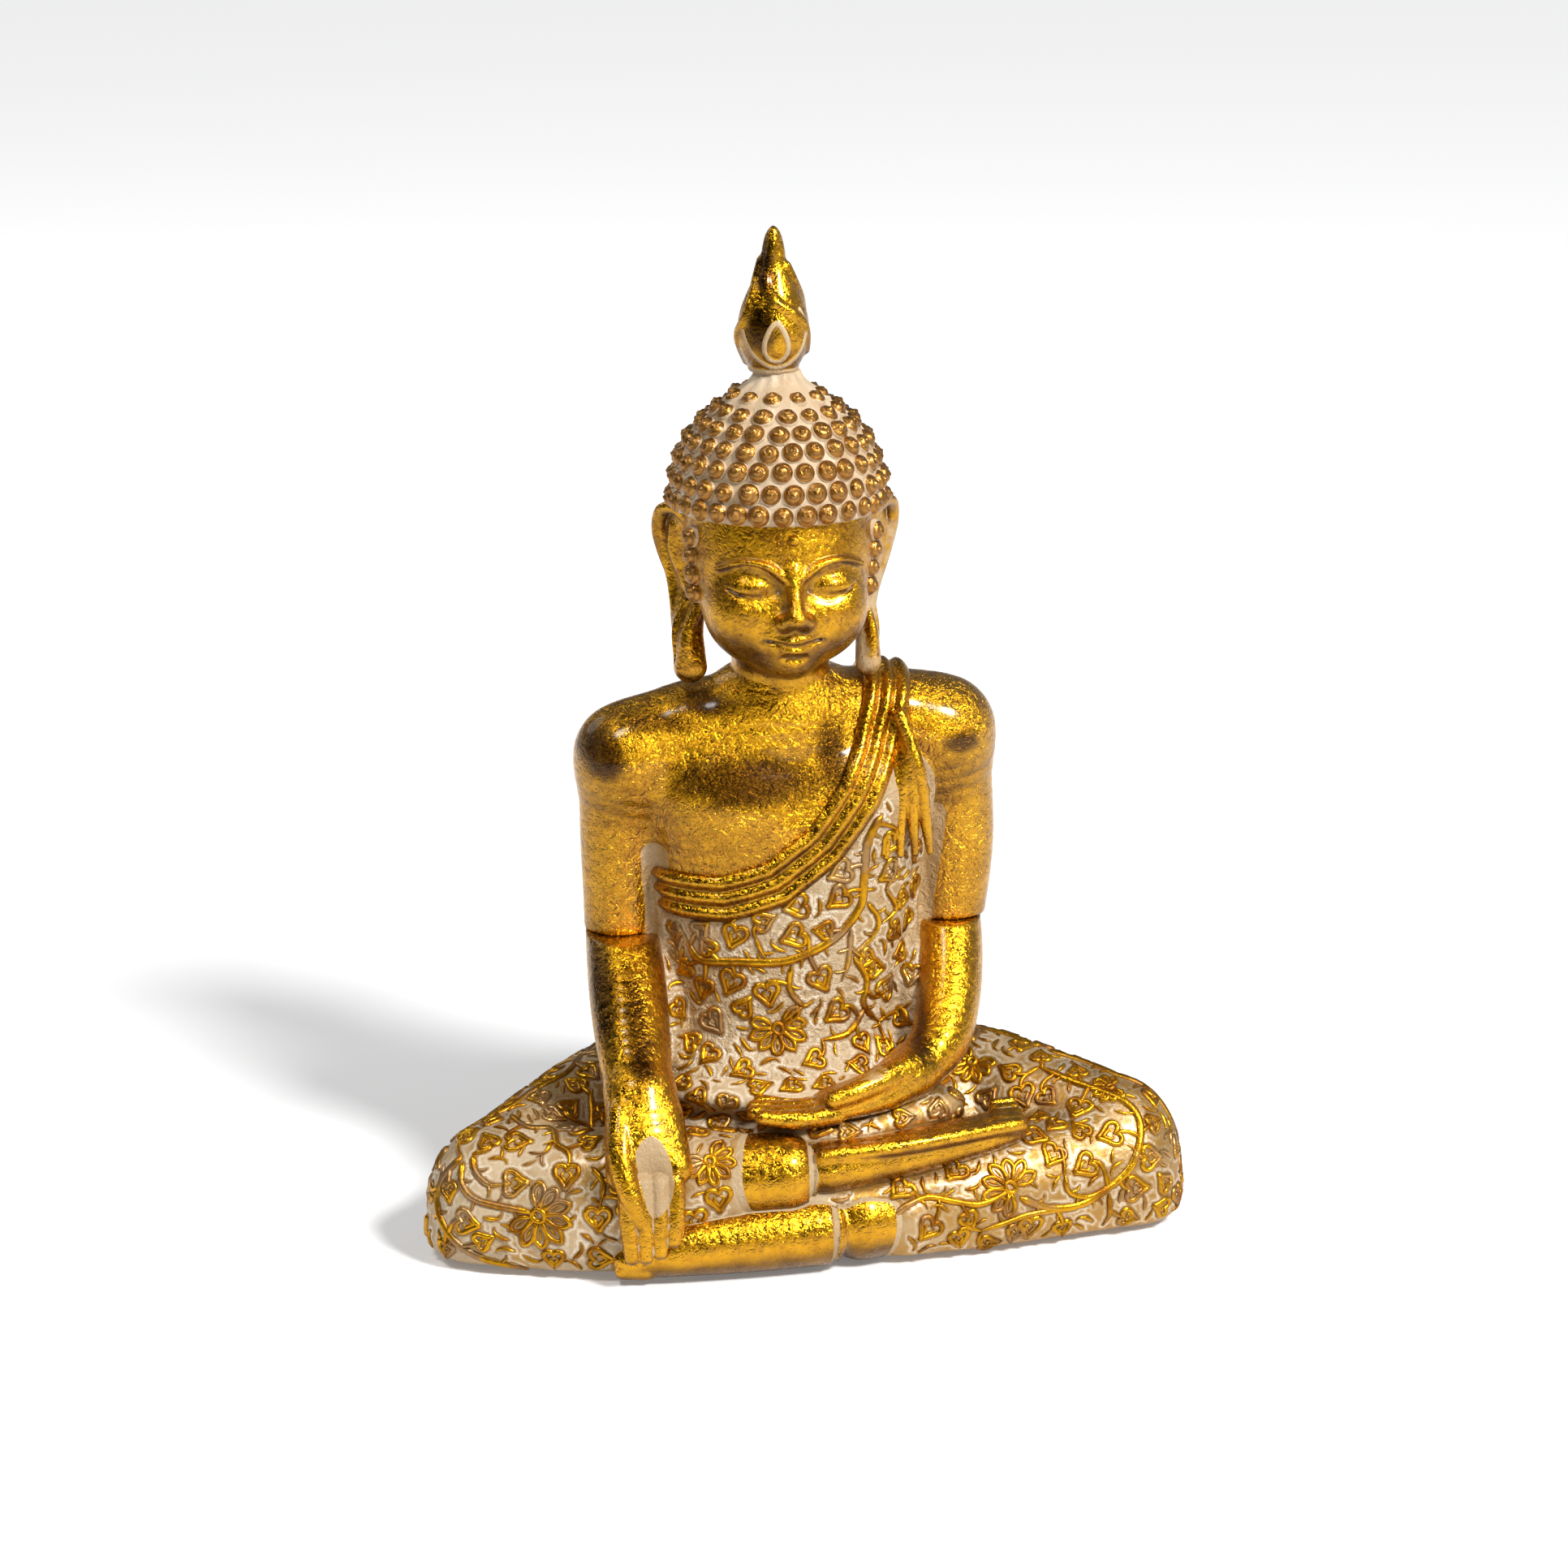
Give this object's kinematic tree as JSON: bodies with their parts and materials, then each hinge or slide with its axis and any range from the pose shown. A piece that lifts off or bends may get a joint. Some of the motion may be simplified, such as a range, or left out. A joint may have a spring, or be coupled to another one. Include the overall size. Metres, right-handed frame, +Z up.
{
  "type": "seated buddha statue",
  "caption": "Seated Buddha statue on crossed legs, one hand hanging over the shin and one in the lap, with curled hair and a lift-off flame.",
  "frame": {"origin": "centre of the underside, on the surface that the statue stands on, midway between the knees", "axes": "+Z up along the figure's height; the figure faces -Y; +X towards its own left-hand knee"},
  "size_m": [0.232, 0.1154, 0.3],
  "materials": {
    "gold_leaf": "cast resin with crinkled metallic gold paint, dark specks where it is rubbed",
    "robe_wash": "cast resin, gold relief under a cream wash",
    "hair_wash": "cast resin, cream wash with gold rubbed tips",
    "board": "plain fibreboard",
    "felt": "dark green felt",
    "screws": "zinc plated",
    "dowel": "beech, plain",
    "pin": "drawn brass"
  },
  "bodies": {
    "statue": {"base_felt": "felt", "base_board": "board", "base_screws": "screws", "seat_casting": "robe_wash", "left_foot": "gold_leaf", "right_foot": "gold_leaf", "torso_casting": "gold_leaf", "shoulder_sash": "gold_leaf", "shoulder_pleats": "gold_leaf", "right_forearm": "gold_leaf", "left_forearm": "gold_leaf", "right_elbow_pin": "dowel", "left_elbow_pin": "dowel", "neck_dowel": "dowel", "head_casting": "gold_leaf", "urna_bead": "gold_leaf", "right_ear": "gold_leaf", "left_ear": "gold_leaf", "hair_cap": "hair_wash", "crown_collar": "hair_wash", "temple_curls": "hair_wash", "hair_curls_row_1": "hair_wash", "hair_curls_row_2": "hair_wash", "hair_curls_row_3": "hair_wash", "hair_curls_row_4": "hair_wash", "hair_curls_row_5": "hair_wash", "hair_curls_row_6": "hair_wash", "hair_curls_row_7": "hair_wash", "nape_curls": "hair_wash"},
    "flame": {"flame_finial": "gold_leaf", "finial_pin": "pin"}
  },
  "joints": [
    {"name": "flame_lift", "type": "slide", "parent": "statue", "child": "flame", "axis": [0, 0, 1], "range_m": [0, 0.03]}
  ]
}
